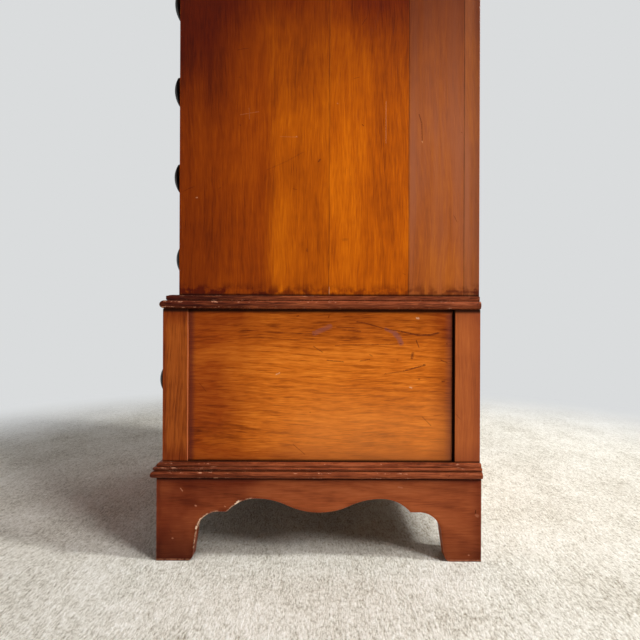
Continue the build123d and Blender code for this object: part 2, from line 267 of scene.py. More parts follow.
# Soft lamps: name, place, aim, width, height, watts, colour
LAMPS = (
    ("window", (2.7, 3.1, 3.0), (0.3, 0.0, 0.5), 1.2, 1.4, 182, (1.0, 0.98, 0.97)),
    ("key", (1.1, 3.8, 3.4), (0.0, 0.0, 0.3), 0.5, 0.6, 188, (1.0, 0.995, 0.985)),
    ("fill", (0.2, -3.5, 0.34), (0.0, 0.0, 0.6), 2.4, 0.6, 54, (1.0, 1.0, 1.0)),
    ("rear_fill", (-2.7, 2.2, 1.9), (0.0, 0.0, 0.6), 1.8, 1.4, 48, (1.0, 1.0, 1.0)),
)


def area_light(name, place, target, width, height, power, colour):
    """Soft rectangular lamp at a place, aimed at a target."""
    data = bpy.data.lights.new(name, "AREA")
    data.shape = "RECTANGLE"
    data.size = width
    data.size_y = height
    data.energy = power
    data.color = colour
    lamp = bpy.data.objects.new(name, data)
    bpy.context.scene.collection.objects.link(lamp)
    aim = (Vector(target) - Vector(place)).to_track_quat("-Z", "Y").to_matrix().to_4x4()
    lamp.matrix_world = Matrix.Translation(Vector(place)) @ aim


for lamp in LAMPS:
    area_light(*lamp)

# Pale wall colour that the camera and reflections see, and the softer light that the world gives
WALL = linear(218, 220, 221)
WORLD_LIGHT = (0.10, 0.102, 0.105, 1.0)


def seen_directly(g):
    """1 for rays from the camera, in a reflection or through glass."""
    rays = g.node("ShaderNodeLightPath")
    names = ("Is Camera Ray", "Is Glossy Ray", "Is Transmission Ray")
    camera_ray, glossy_ray, transmission_ray = [Wire(g, rays.outputs[name]) for name in names]
    return g.clamp(camera_ray + glossy_ray + transmission_ray)


def studio_world():
    """Pale background for the eye and for reflections, even soft light for the rest."""
    world = bpy.data.worlds.new("studio")
    bpy.context.scene.world = world
    g = Tree(world)
    background = g.node("ShaderNodeBackground")
    g.put(background.inputs["Color"], g.mix(seen_directly(g), WORLD_LIGHT, WALL))
    g.finish(Wire(g, background.outputs[0]), "World")


studio_world()

# Floor: half its side, the distances between which it fades into the wall, its shades, its painted shadow
# and its pile
FLOOR_HALF = 14.0
FLOOR_FADE_START = 0.85
FLOOR_FADE_END = 1.7
FLOOR_SHADES = ((0.37, linear(140, 130, 110)), (0.5, linear(224, 221, 209)), (0.62, linear(254, 253, 247)))
FLOOR_PAINTED_SHADOW = linear(40, 28, 18)
FLOOR_SHADOW_REACH = 0.3
FLOOR_SHADOW_STRENGTH = 0.7
PILE_DEPTH = 0.004


def floor_pale():
    """Pale matted pile with a painted shadow where something stands close over it, fading into the wall far
    away.
    """
    g = Tree(bpy.data.materials.new("floor_pale"))
    x, y, _ = g.place()
    pile = g.noise(x, y, 0.0, per_metre=(130, 310, 1), detail=4, roughness=0.8)
    tufts = g.noise(x, y, 3.0, per_metre=(45, 90, 1), detail=3, roughness=0.65)
    cloud = g.noise(x, y, 0.0, per_metre=(6, 8, 1), detail=4, roughness=0.62)
    tone = pile * 0.6 + tufts * 0.22 + cloud * 0.18
    # Painted shadow: the floor is darkened where the chest closes it in
    painted_shadow = g.span(g.openness(FLOOR_SHADOW_REACH), 0.5, 0.1) * FLOOR_SHADOW_STRENGTH
    colour = g.mix(painted_shadow, g.ramp(tone, *FLOOR_SHADES), FLOOR_PAINTED_SHADOW)
    shader = g.surface(colour, 1.0, pile * 0.6 + tufts * 0.4, PILE_DEPTH, specular=0.1)
    wall = g.node("ShaderNodeEmission")
    wall.inputs["Color"].default_value = WALL
    far = g.math("SQRT", x * x + y * y)
    blend = g.node("ShaderNodeMixShader")
    g.put(blend.inputs[0], g.span(far, FLOOR_FADE_START, FLOOR_FADE_END) * seen_directly(g))
    g.put(blend.inputs[1], shader)
    g.put(blend.inputs[2], Wire(g, wall.outputs[0]))
    return g.finish(Wire(g, blend.outputs[0]))


def floor():
    """Level floor that catches the shadow."""
    mesh = bpy.data.meshes.new("floor")
    corners = [(-FLOOR_HALF, -FLOOR_HALF, 0), (FLOOR_HALF, -FLOOR_HALF, 0)]
    corners += [(FLOOR_HALF, FLOOR_HALF, 0), (-FLOOR_HALF, FLOOR_HALF, 0)]
    mesh.from_pydata(corners, [], [(0, 1, 2, 3)])
    mesh.materials.append(floor_pale())
    made = bpy.data.objects.new("floor", mesh)
    bpy.context.scene.collection.objects.link(made)


floor()

# Colours of wear and dirt; the dark one also paints shade, and the rubbed stain also a painted highlight
WORN = linear(196, 142, 100)
RUBBED_AND_HIGHLIGHT = linear(178, 108, 76)
RAW = linear(214, 172, 130)
GRIME_AND_SHADE = linear(28, 12, 7)

# Random scratches and dents: cells to the metre, length, half width and spread of directions
SCRATCHES = (22, 0.013, 0.0006, 1.4)
SCRATCH_SHARE = 0.25
DENTS = (13, 0.004, 0.0011, 3.1)
DENT_SHARE = 0.16
DENT_SHIFT = 0.37
SCRATCH_BOW = 14.0

# Strokes: how finely and how far their edges are roughened
RAGGED_CELLS = 420
RAGGED_Y = 0.0022
RAGGED_Z = 0.0016


def random_scratches(g, first, second, kind, share):
    """Short bowed scratches of one kind, in a share of random cells and turned at random."""
    density, length, width, spread = kind
    per_metre = (density, density, 1)
    _, (turn, pick, size), centre = g.cells(first, second, 0.0, per_metre, flat=True)
    centre_first, centre_second, _ = g.parts(centre)
    away_first = first - centre_first / density
    away_second = second - centre_second / density
    angle = (turn - 0.5) * (2 * spread)
    cosine = g.math("COSINE", angle)
    sine = g.math("SINE", angle)
    along = away_first * cosine + away_second * sine
    bow = along * along * ((size - 0.5) * SCRATCH_BOW)
    aside = away_second * cosine - away_first * sine + bow
    ends = g.span(abs(along), size * length, size * (length * 0.6))
    return g.span(abs(aside), width, width * 0.35) * ends * (pick < share)


def stroke(g, point, start, end, width):
    """1 on a straight stroke between two places, falling to 0 at width from it."""
    run = Vector(end) - Vector(start)
    way = tuple(run.normalized())
    away = g.vector_math("SUBTRACT", point, tuple(start))
    reach = g.vector_math("DOT_PRODUCT", away, way, output=1)
    held = g.span(reach, 0.0, run.length, 0.0, run.length, smooth=False)
    apart = g.vector_math("DISTANCE", away, g.vector_math("SCALE", way, scale=held), output=1)
    return g.span(apart, width, width * 0.3)


def strokes(g, y, z, table):
    """Strongest of several strokes, each a half width, a strength and its points, with ragged edges."""
    ragged = g.noise(y, z, 5.0, per_metre=(RAGGED_CELLS, RAGGED_CELLS, 1), detail=2) - 0.5
    point = g.vector(y + ragged * RAGGED_Y, z - ragged * RAGGED_Z)
    total = 0.0
    for width, strength, *points in table:
        for (y0, z0), (y1, z1) in zip(points, points[1:]):
            one = stroke(g, point, (y0, z0, 0.0), (y1, z1, 0.0), width) * strength
            total = g.highest(total, one)
    return total * g.span(ragged, -0.28, 0.1, 0.35, 1.0)


# Heights between the waist and the cornice over which a mitre's place goes from lower to upper case
MITRE_SWITCH_LOW = 0.7
MITRE_SWITCH_HIGH = 0.71


def mitre(g, x, y, z):
    """How far a point lies on the side's part of a mitre, in metres, and 1 on the front's part."""
    corner = g.span(z, MITRE_SWITCH_LOW, MITRE_SWITCH_HIGH, Y_LOWER + X_LOWER, Y_UPPER + X_UPPER)
    past = y + abs(x) - corner
    return past, past < 0.0


# Grain: how far fibres swing and waver, how boards lay in the log and differ, fine cells to the metre
SWING = 0.05
WAVER = 0.007
LOG_SPREAD = 0.07
LOG_TURN = 5.1
LOG_DEPTH = 0.035
LOG_LEAN = 0.05
BOARD_SHIFT = 0.731
BOARD_SHIFT_ACROSS = 0.377
PIECES_APART = 7.0
SIDES_APART = 6.0
FIBRES = 360
THREADS = 820
PORES = 560

# Places of the dark, middle and light shade on the scale of tones, and the shades of bare wood
TONES = (0.12, 0.5, 0.88)
BARE = (linear(146, 100, 60), linear(190, 146, 98), linear(216, 178, 132))

# Finish: roughness of its coat, depth of its relief, half widths of dark lines, reaches of the painted shade
# in hollows and of wear, and chips
COAT_ROUGHNESS = 0.22
GRAIN_DEPTH = 0.00016
GLUE_LINE = 0.0011
MITRE_LINE = 0.0009
HOLLOW_REACH = 0.006
WORN_REACH = 0.0032
CHIPS_PER_METRE = 55
CHIP_SIZE = 0.09
CHIP_SHARE = 0.09


def grain(g, across, depth, length, number, ring, figure, curl, broad, fibre_length, crisp):
    """Tone of plain-sawn wood from 0 to 1, its fibres alone, and its dark pores."""
    shift = number * BOARD_SHIFT
    own_length = length + shift
    own_across = across + shift * BOARD_SHIFT_ACROSS
    wander = g.noise(own_across, depth, own_length, per_metre=(4.5, 4.5, 1.6), detail=3)
    swing = (wander - 0.5) * SWING
    waver = g.noise(own_across, depth, own_length, per_metre=(24, 24, 12), detail=2) - 0.5
    bent = own_across + swing + waver * WAVER

    log = g.math("SINE", number * LOG_TURN) * LOG_SPREAD
    ring_across = across - log + swing
    ring_depth = LOG_DEPTH + own_length * LOG_LEAN
    radius = g.math("SQRT", ring_across * ring_across + ring_depth * ring_depth)
    phase = g.math("FRACT", radius / ring)
    rings = g.span(phase, 0.0, 0.25) - g.span(phase, 0.6, 1.0)

    fibre_place = own_length / fibre_length
    bands = g.noise(bent, depth, own_length, per_metre=(24, 9, 1.1), detail=3, roughness=0.55)
    fibre = g.noise(bent, depth, fibre_place, per_metre=(FIBRES, FIBRES, 1), detail=3, roughness=0.65)
    thread = g.noise(bent, depth, own_length, per_metre=(THREADS, THREADS, 2.4 / fibre_length), detail=2)
    patch = g.noise(own_across, depth, own_length, per_metre=(13, 13, 6), detail=4, roughness=0.62)
    ripple = g.noise(bent, depth, own_length, per_metre=(16, 16, 62), detail=2)
    tick = g.noise(bent, depth, own_length, per_metre=(PORES, PORES, 46), detail=1)
    flock = g.noise(bent, depth, own_length, per_metre=(30, 30, 9), detail=2)

    tone = (bands - 0.5) * broad + (fibre - 0.5) * (1.2 * crisp) + (thread - 0.5) * (1.1 * crisp)
    tone = tone + (patch - 0.5) * 0.7 + (rings - 0.45) * figure + (ripple - 0.5) * curl
    pores = g.span(tick, 0.62, 0.72) * g.span(flock, 0.42, 0.62, 0.1, 0.8)
    return g.clamp(tone + 0.5), fibre, pores


def directions(g, along, x, y, z):
    """Coordinates across, through and along the grain, and how far past a mitre if there is one."""
    if along == "mitred":
        past, on_front = mitre(g, x, y, z)
        return z, x + (y - x) * on_front, y + (x - y) * on_front, past
    across, depth, length = {"X": (z, y, x), "Y": (z, x, y), "Z": (y, x, z), "top": (y, z, x)}[along]
    return across, depth, length, None


def board_number(g, x, across, seams, seed):
    """Number that gives each board its own grain: one to a piece, or one to each glued board."""
    if not seams:
        return Wire(g, g.node("ShaderNodeObjectInfo").outputs["Random"]) * PIECES_APART + seed
    number = (x > 0.0) * SIDES_APART + seed
    for seam in seams:
        number = number + (across > seam)
    return number


def glue_lines(g, across, seams, tone, colour):
    """Dark lines between glued boards, the foremost nearly shut."""
    for seam in seams:
        strength = 0.15 if seam == seams[0] else 0.8
        line = g.near(across, seam, GLUE_LINE) * g.span(tone, 0.3, 0.7, strength, strength / 2)
        colour = g.mix(line, colour, GRIME_AND_SHADE)
    return colour


def scores(g, along, x, y, z, amount):
    """Random scratches and dents, laid out in the plane of the piece's broad faces."""
    first, second = {"X": (x, z), "top": (x, y)}.get(along, (y, z))
    fine = random_scratches(g, first, second, SCRATCHES, SCRATCH_SHARE * amount)
    dents = random_scratches(g, first + DENT_SHIFT, second, DENTS, DENT_SHARE * amount)
    return g.highest(fine * 0.55, dents * 0.7)


def chip_spots(g, x, y, z, amount):
    """1 in small random chips, and 1 where a chip is pale."""
    spot, (pick, size, shade), _ = g.cells(x, y, z, CHIPS_PER_METRE)
    return (spot < size * CHIP_SIZE) * (pick < CHIP_SHARE * amount), shade > 0.45


def rubbed_edges(g, grain_place, place, wear, colour, light, worn, raw):
    """Colour with its edges thinned and, in patches, rubbed through, and how far they are rubbed."""
    crumble = g.noise(*grain_place, per_metre=(260, 260, 120), detail=4, roughness=0.78)
    patchy = g.noise(*place, per_metre=24, detail=3)
    close = g.highest(g.edge(WORN_REACH), g.corner() * 0.8)
    amount = close * 0.3 + (crumble - 0.5) * 1.6 + (patchy - 0.5) * 0.9
    rubbed = g.span(amount, 0.58 - 0.1 * wear, 0.68 - 0.1 * wear) * g.span(close, 0.1, 0.5)
    colour = g.mix(g.span(close, 0.2, 1.0) * g.span(crumble, 0.4, 0.6) * 0.25, colour, light)
    colour = g.mix(rubbed, colour, worn)
    return g.mix(g.span(rubbed, 0.75, 1.0) * 0.6, colour, raw), rubbed


def wood(
    name, along, seed, shades, ring=0.012, figure=0.06, curl=0.15, broad=0.4, fibre_length=0.07,
    crisp=1.0, pores=0.5, stain=None, bare=None, shade_and_grime=None, marks=None, seams=(), wear=0.0,
    worn=WORN, raw=RAW, hollow=0.0, chips=0.0, scratch=0.4, roughness=0.4, specular=0.04, coat=0.1,
):
    """Stained wood with its grain along an axis, or along each length of a mitred frame.

    shades are dark, middle and light. ring is the width of a growth ring and fibre_length the length
    of a fibre, while figure, curl, broad and crisp weigh rings, ripples, broad bands and fine fibres.
    stain(g, x, y, z, colour) tones the finish, bare(g, x, y, z) is 1 on unfinished faces, shade_and_grime
    does the same for painted shade under mouldings and at joins, with some darker patches by the floor,
    and marks(g, x, y, z, colour) adds single marks. seams are Y places of glue lines. wear rubs the
    edges to the colour worn and, where most, to raw. pores, hollow, chips and scratch are amounts of dark
    pores, painted shade in hollows, chips and scratches.
    """
    g = Tree(bpy.data.materials.new(name))
    x, y, z = g.place()
    dark, _, light = shades
    across, depth, length, past = directions(g, along, x, y, z)
    number = board_number(g, x, across, seams, seed)
    shape = (ring, figure, curl, broad, fibre_length, crisp)
    tone, fibre, ticks = grain(g, across, depth, length, number, *shape)
    colour = g.ramp(tone, *zip(TONES, shades))
    colour = g.mix(ticks * pores, colour, dark, "MULTIPLY")
    if stain is not None:
        colour = stain(g, x, y, z, colour)
    colour = glue_lines(g, across, seams, tone, colour)
    if marks is not None:
        colour = marks(g, x, y, z, colour)

    rough = g.span(tone, 0.2, 0.8, roughness + 0.05, roughness - 0.03)
    height = fibre * 0.5 - ticks * 0.6
    if bare is not None:
        unfinished = bare(g, x, y, z)
        colour = g.mix(unfinished, colour, g.ramp(tone, *zip(TONES, BARE)))
        rough = rough + unfinished * 0.3
    scored = scores(g, along, x, y, z, scratch)
    colour = g.mix(scored, colour, dark, "MULTIPLY")
    height = height - scored * 0.8
    if chips:
        chip, pale = chip_spots(g, x, y, z, chips)
        colour = g.mix(chip * 0.8, colour, g.mix(pale, dark, worn))
        height = height - chip * 0.8
    # Painted shade under mouldings and at joins, and darker patches by the floor, which also dull the coat
    if shade_and_grime is not None:
        shade_and_dirt = shade_and_grime(g, x, y, z)
        colour = g.mix(shade_and_dirt, colour, GRIME_AND_SHADE)
        rough = rough + shade_and_dirt * 0.4
        coat = (1.0 - shade_and_dirt) * coat
    if past is not None:
        colour = g.mix(g.near(past, 0.0, MITRE_LINE) * 0.8, colour, GRIME_AND_SHADE)
    # Painted shade in the grooves and inner corners of the piece
    if hollow:
        colour = g.mix(g.span(g.hollow(HOLLOW_REACH), 0.25, 0.85) * hollow, colour, GRIME_AND_SHADE)
    if wear:
        grain_place = (across, depth, length)
        colour, rubbed = rubbed_edges(g, grain_place, (x, y, z), wear, colour, light, worn, raw)
        rough = rough + rubbed * 0.3
        height = height - rubbed * 1.2
    return g.finish(g.surface(colour, rough, height, GRAIN_DEPTH, specular, coat, COAT_ROUGHNESS))


# Glue lines of the upper sides, as shares of the depth, and the tint of each board from front to back
SEAM_SHARES = (0.314, 0.499, 0.764, 0.948)
SEAMS = [Y_UPPER + share * (Y_BACK - Y_UPPER) for share in SEAM_SHARES]
BOARD_TINTS = (
    linear(198, 178, 178),
    linear(240, 240, 212),
    linear(250, 250, 214),
    linear(222, 232, 255),
    linear(216, 236, 255),
)

# Colours that the finish takes on in places. The burnt colours also darken for painted shade, the pinkish
# haze is partly a painted reflection, and the purple and the dark haze are painted shade in the panel recess
BURNT_AND_SHADE = linear(150, 92, 74)
BURNT_CASE_AND_SHADE = linear(150, 112, 84)
PINK_TONE_AND_SHEEN = linear(152, 90, 62)
FRONT_RECESS_SHADE = linear(84, 34, 24)
CLEAR_PATCH = linear(226, 138, 66)
REAR_RECESS_SHADE = linear(104, 54, 48)
FADED_STILE = linear(154, 82, 50)
DARK_TOES = linear(138, 112, 122)
THICK_FINISH = linear(132, 96, 98)
THIN_FINISH = linear(158, 84, 48)
STAINED_EDGE = linear(150, 68, 16)

# Upper sides: the stretch, faint end first, over which each change of the finish comes in. The pinkish
# dullness is partly a painted reflection, and the darkening at the front and the top partly painted shade
TINT_RAGGED = 0.06
FRONT_TINT = (SEAMS[0] - 0.022, SEAMS[0] + 0.014)
SEAM_STEP = 0.0004
DULL_AND_SHEEN_BEHIND = (SEAMS[2] - 0.002, SEAMS[2] + 0.004)
DULL_AND_SHEEN_ABOVE = (0.42, 0.62)
FRONT_BURNT_AND_SHADE = (SEAMS[0] + 0.01, Y_UPPER - 0.01)
BURNT_FOOT = (Z_WAIST_TOP + 0.024, Z_WAIST_TOP + 0.003)
BURNT_MIDDLE = (SEAMS[0] - 0.02, SEAMS[0] + 0.02)
TOP_BURNT_AND_SHADE = (0.66, 0.95)
REAR_EDGE = (Y_BACK - 0.02, Y_BACK)


def upper_stain(g, x, y, z, colour):
    """Board by board tint, a pinkish dullness behind that is partly a painted reflection, and burnt darker
    along the front, the foot and the top, partly painted shade where the light falls off.
    """
    ragged = (g.noise(y, x, z, per_metre=(30, 30, 5), detail=3) - 0.5) * TINT_RAGGED
    tint = g.mix(g.span(y + ragged, *FRONT_TINT), BOARD_TINTS[0], BOARD_TINTS[1])
    for seam, board_tint in zip(SEAMS[1:], BOARD_TINTS[2:]):
        tint = g.mix(g.span(y, seam - SEAM_STEP, seam + SEAM_STEP), tint, board_tint)
    colour = g.mix(1.0, colour, tint, "MULTIPLY")
    streaky = g.noise(y, x, z, per_metre=(45, 9, 1.8), detail=3, roughness=0.6)
    cloud = g.noise(x, y, z, per_metre=(7, 8, 4), detail=3, roughness=0.55)
    # Pinkish dullness towards the back and the top: partly the boards' own tone, partly a painted reflection
    # of the window's sheen
    dull_and_sheen = g.span(y, *DULL_AND_SHEEN_BEHIND) * g.span(z, *DULL_AND_SHEEN_ABOVE, 0.38, 0.62)
    dull_and_sheen = dull_and_sheen + (y > SEAMS[3]) * 0.15
    colour = g.mix(dull_and_sheen * g.span(streaky * 0.6 + cloud * 0.4, 0.35, 0.62, 0.55, 1.25), colour, PINK_TONE_AND_SHEEN)
    # Darker towards the front and the top: partly burnt toning, partly painted shade where the light falls
    # off
    front = g.span(y, *FRONT_BURNT_AND_SHADE) * g.span(streaky, 0.3, 0.7, 0.75, 1.0)
    blotch = g.noise(y, x, z, per_metre=60, detail=3, roughness=0.6)
    foot = g.span(z, *BURNT_FOOT) * g.span(blotch, 0.38, 0.6) * 0.85
    inner = g.span(y, *BURNT_MIDDLE) * (y < SEAMS[2])
    top = g.span(z, *TOP_BURNT_AND_SHADE) * (0.85 + inner * 0.2 - (y > SEAMS[3]) * 0.4)
    back = g.span(y, *REAR_EDGE) * 0.4
    burnt_and_shade = g.clamp((front * 0.6 + foot + top + back) * g.span(cloud, 0.25, 0.75, 0.8, 1.15))
    front_edge = g.parts(g.normal())[1] < -0.5
    return g.mix(burnt_and_shade - burnt_and_shade * front_edge * 0.6, colour, BURNT_CASE_AND_SHADE, "MULTIPLY")


# Recessed panels: stretches of the same kind; those at the top, at the foot and beside the stiles are
# painted shade
PANEL_BURNT_FRONT = (PANEL_FRONT + 0.15, PANEL_FRONT)
PANEL_BURNT_REAR = (PANEL_REAR - 0.05, PANEL_REAR)
PANEL_SHADE_TOP = (Z_WAIST - 0.10, Z_WAIST - 0.005)
PANEL_SHADE_FOOT = (Z_BASE_TOP + 0.035, Z_BASE_TOP)
PANEL_CLEAR_BELOW = (0.30, 0.19)
PANEL_CLEAR_BEHIND = (-0.12, 0.06)
PANEL_REAR_SHADE = (PANEL_REAR - 0.016, PANEL_REAR - 0.003)
PANEL_SHADED = (PANEL_FRONT + 0.013, PANEL_FRONT + 0.003)


def panel_stain(g, x, y, z, colour):
    """Burnt rim of the recessed panels, widest towards the front, with painted shade under the waist
    moulding, over the base moulding and in the recess beside the stiles, and a clear patch low down.
    """
    cloud = g.noise(x, y, z, per_metre=(9, 7, 14), detail=4, roughness=0.6)
    front = g.span(y, *PANEL_BURNT_FRONT) * 0.9
    back = g.span(y, *PANEL_BURNT_REAR) * 0.6
    # Painted shade under the waist moulding and over the base moulding
    top = g.span(z, *PANEL_SHADE_TOP) * 0.4
    foot = g.span(z, *PANEL_SHADE_FOOT) * 0.8
    burnt_and_shade = g.clamp((front + back + top + foot) * g.span(cloud, 0.28, 0.72, 0.6, 1.3))
    colour = g.mix(g.math("MINIMUM", burnt_and_shade, 0.74), colour, BURNT_AND_SHADE, "MULTIPLY")
    clear = g.span(z, *PANEL_CLEAR_BELOW) * g.span(y, *PANEL_CLEAR_BEHIND)
    clear = clear * g.span(cloud, 0.3, 0.7, 0.7, 1.0)
    colour = g.mix(clear * 0.42, colour, CLEAR_PATCH)
    # Painted shade in the recess beside the rear and the front stiles
    colour = g.mix(g.span(y, *PANEL_REAR_SHADE) * 0.45, colour, REAR_RECESS_SHADE)
    return g.mix(g.span(y, *PANEL_SHADED) * 0.75, colour, FRONT_RECESS_SHADE)


# Stiles: stretches of the same kind along Y, and distances from the middle of their height over which
# painted shade comes in towards the ends
STILE_MIDDLE = (Z_WAIST + Z_BASE_TOP) / 2
STILE_END_SHADE = (0.085, 0.125)
FRONT_HALF = (0.0, -0.1)
STILE_FACE = (Y_LOWER + 0.009, Y_LOWER)
STILE_FADED = (0.0, 0.2)
ARRIS_WIDTH = 0.0011
ARRIS_DEPTH = 0.003


def stile_stain(g, x, y, z, colour):
    """Front stiles redder and darker than the rear ones, with painted shade at their ends by the mouldings,
    and a pale arris that is partly rubbed and partly a painted highlight.
    """
    front = g.span(y, *FRONT_HALF) * 0.35
    # Painted shade towards the ends, by the mouldings
    ends = g.span(abs(z - STILE_MIDDLE), *STILE_END_SHADE) * 0.5
    sides = g.highest(g.span(y, *STILE_FACE), g.span(y, *REAR_EDGE)) * 0.6
    colour = g.mix(g.math("MINIMUM", front + ends + sides, 0.75), colour, BURNT_AND_SHADE, "MULTIPLY")
    colour = g.mix(g.span(y, *STILE_FADED) * 0.5, colour, FADED_STILE)
    # Pale arris: partly rubbed finish, partly a painted highlight where light catches the edge
    arris_rub_and_highlight = g.near(y, PANEL_FRONT, ARRIS_WIDTH) * (abs(x) > X_LOWER - ARRIS_DEPTH)
    return g.mix(arris_rub_and_highlight * 0.6, colour, RUBBED_AND_HIGHLIGHT)


# Skirt boards: stretches of the same kind, the one under the moulding painted shade, and how far the dark at
# the corners reaches
SKIRT_FRONT = (0.05, Y_LOWER)
SKIRT_REAR = (0.17, Y_BACK)
SKIRT_TOES = (0.075, 0.0)
SKIRT_SHADE_TOP = (Z_SKIRT - 0.022, Z_SKIRT)
SKIRT_CORNER = 0.014


def base_stain(g, x, y, z, colour):
    """Darker towards the feet and the floor, with painted shade under the moulding, clearer in patches
    between.
    """
    cloud = g.noise(x, y, z, per_metre=12, detail=3)
    front = g.span(y, *SKIRT_FRONT) * (0.75 - mitre(g, x, y, z)[1] * 0.35)
    rear = g.span(y, *SKIRT_REAR) * 0.25
    toes = g.span(z, *SKIRT_TOES) * g.span(y, *FRONT_HALF, 0.5, 0.8)
    # Painted shade under the base moulding
    top = g.span(z, *SKIRT_SHADE_TOP) * 0.4
    ends = g.highest(g.span(y, *REAR_EDGE), g.edge(SKIRT_CORNER) * 0.9) * 0.4
    burnt_and_shade = g.clamp((front + rear + top) * g.span(cloud, 0.35, 0.65, 0.55, 1.25) + ends)
    colour = g.mix(g.math("MINIMUM", burnt_and_shade, 0.8), colour, BURNT_AND_SHADE, "MULTIPLY")
    return g.mix(toes, colour, DARK_TOES, "MULTIPLY")


# Mouldings: stretches along Y in which the finish is thick, and where it wears thin
MOULDING_THICK = (0.02, Y_LOWER + 0.03)
MOULDING_THIN = (Y_LOWER + 0.02, Y_LOWER + 0.2)


def moulding_stain(g, x, y, z, colour):
    """Old dark finish, thickest towards the front and in blotches."""
    cloud = g.noise(x, y, z, per_metre=(20, 20, 60), detail=4, roughness=0.65)
    front = g.span(y, *MOULDING_THICK) * g.span(z, Z_BASE_TOP, Z_WAIST, 0.6, 1.0)
    front = front - front * mitre(g, x, y, z)[1] * 0.6
    thick = g.clamp(front * 0.85 + 0.1 * g.span(cloud, 0.35, 0.62, 0.2, 1.6))
    colour = g.mix(thick, colour, THICK_FINISH, "MULTIPLY")
    streak = g.noise(x, y, z, per_metre=(26, 26, 240), detail=4, roughness=0.7)
    thin = g.span(streak, 0.5, 0.68) * g.span(y, *MOULDING_THIN, 0.15, 0.75)
    return g.mix(thin, colour, THIN_FINISH)


# Where the faces of the two cases change over, and how deep the stained edges and bare faces lie
FACE_CHANGE = (Z_WAIST, Z_WAIST + 0.01)
EDGE_DEPTH = 0.004
UPRIGHT_REACH = X_UPPER - 0.008


def inner_stain(g, x, y, z, colour):
    """Front edges of inner boards, which show between the drawers, take the case's finish."""
    face = g.span(z, *FACE_CHANGE, Y_LOWER, Y_UPPER)
    edge = (g.parts(g.normal())[1] < -0.5) * ((y - face) < EDGE_DEPTH)
    return g.mix(edge, colour, STAINED_EDGE)


def bare_inside(g, x, y, z):
    """Faces of the uprights that look in to the drawers were never finished."""
    inward = g.parts(g.normal())[0] * g.math("SIGN", x)
    return (inward < -0.5) * (abs(x) < UPRIGHT_REACH)


def bare_behind(g, x, y, z):
    """Back face of a drawer front."""
    return g.parts(g.normal())[1] > 0.5


# Painted shade, and patches darker by the floor: stretches, faint end first, in which they lie
ABOVE_WAIST = (Z_WAIST_TOP + 0.004, Z_WAIST_TOP)
UNDER_WAIST = (Z_WAIST - 0.008, Z_WAIST - 0.003)
ABOVE_BASE = (Z_BASE_TOP + 0.004, Z_BASE_TOP)
UNDER_BASE = (Z_SKIRT - 0.005, Z_SKIRT - 0.0015)
BESIDE_PANEL = (PANEL_REAR - 0.002, PANEL_REAR)
PANEL_RECESS = X_LOWER - 0.002
ABOVE_FLOOR = (0.006, 0.0)


def case_join_shade(g, x, y, z):
    """Painted shade where the upper sides meet the waist moulding."""
    return g.span(z, *ABOVE_WAIST) * 0.85


def lower_painted_shade(g, x, y, z):
    """Painted shadow under the waist moulding, and painted shade above the base moulding and in the recess
    beside the rear stiles.
    """
    under = g.span(z, *UNDER_WAIST)
    above = g.span(z, *ABOVE_BASE)
    rear = g.span(y, *BESIDE_PANEL) * (abs(x) < PANEL_RECESS)
    return g.clamp(g.highest(g.highest(under, above), rear) * 0.95)


def base_shadow_and_floor_marks(g, x, y, z):
    """Painted shadow under the base moulding, and darker patches where the feet meet the floor."""
    under = g.span(z, *UNDER_BASE)
    scuffed = g.noise(x, y, z, per_metre=90, detail=3)
    near_floor_dark = g.span(z, *ABOVE_FLOOR) * g.span(scuffed, 0.4, 0.6) * 0.3
    return g.clamp(g.highest(under, near_floor_dark) * 0.95)


# Marks on the right-hand panel: half width, strength, then points (y, z)
PANEL_SCORES = (
    (0.0012, 0.9, (0.074, 0.3795), (0.086, 0.378), (0.121, 0.368), (0.142, 0.365)),
    (0.0020, 1.0, (0.142, 0.365), (0.173, 0.3585), (0.191, 0.359), (0.206, 0.362)),
    (0.0009, 0.8, (0.040, 0.341), (0.052, 0.3425), (0.114, 0.343), (0.146, 0.3445)),
    (0.0012, 0.8, (0.042, 0.371), (0.078, 0.3695)),
    (0.0018, 0.7, (0.062, 0.3655), (0.080, 0.3645)),
    (0.0010, 0.9, (0.026, 0.3175), (0.053, 0.315)),
    (0.0010, 0.8, (0.080, 0.3165), (0.095, 0.319)),
    (0.0010, 0.7, (0.119, 0.2957), (0.150, 0.3005)),
    (0.0015, 1.0, (0.150, 0.3005), (0.182, 0.3095)),
    (0.0012, 0.7, (0.095, 0.3270), (0.099, 0.3245)),
    (0.0014, 0.7, (0.1392, 0.3185), (0.1405, 0.3184)),
    (0.0016, 0.8, (0.1740, 0.2880), (0.1755, 0.2878)),
    (0.0014, 0.7, (0.2188, 0.3448), (0.2200, 0.3446)),
    (0.0014, 0.9, (0.170, 0.350), (0.174, 0.3395)),
    (0.0032, 0.8, (0.1645, 0.329), (0.163, 0.3215)),
    (0.0026, 0.9, (0.182, 0.3100), (0.1835, 0.3102)),
    (0.0014, 0.8, (0.210, 0.3185), (0.220, 0.314)),
    (0.0018, 0.8, (0.212, 0.284), (0.216, 0.2845)),
    (0.0010, 0.6, (0.180, 0.227), (0.194, 0.213)),
    (0.0009, 0.7, (-0.053, 0.362), (0.005, 0.3595)),
    (0.0010, 0.8, (0.005, 0.3395), (0.019, 0.3305)),
    (0.0009, 0.7, (-0.028, 0.182), (-0.009, 0.166)),
)
PANEL_SMEARS = (
    (0.0036, 0.9, (0.121, 0.368), (0.135, 0.3615)),
    (0.0058, 1.0, (0.135, 0.3615), (0.142, 0.354), (0.1455, 0.3455)),
    (0.0055, 0.75, (0.006, 0.361), (0.031, 0.372)),
)
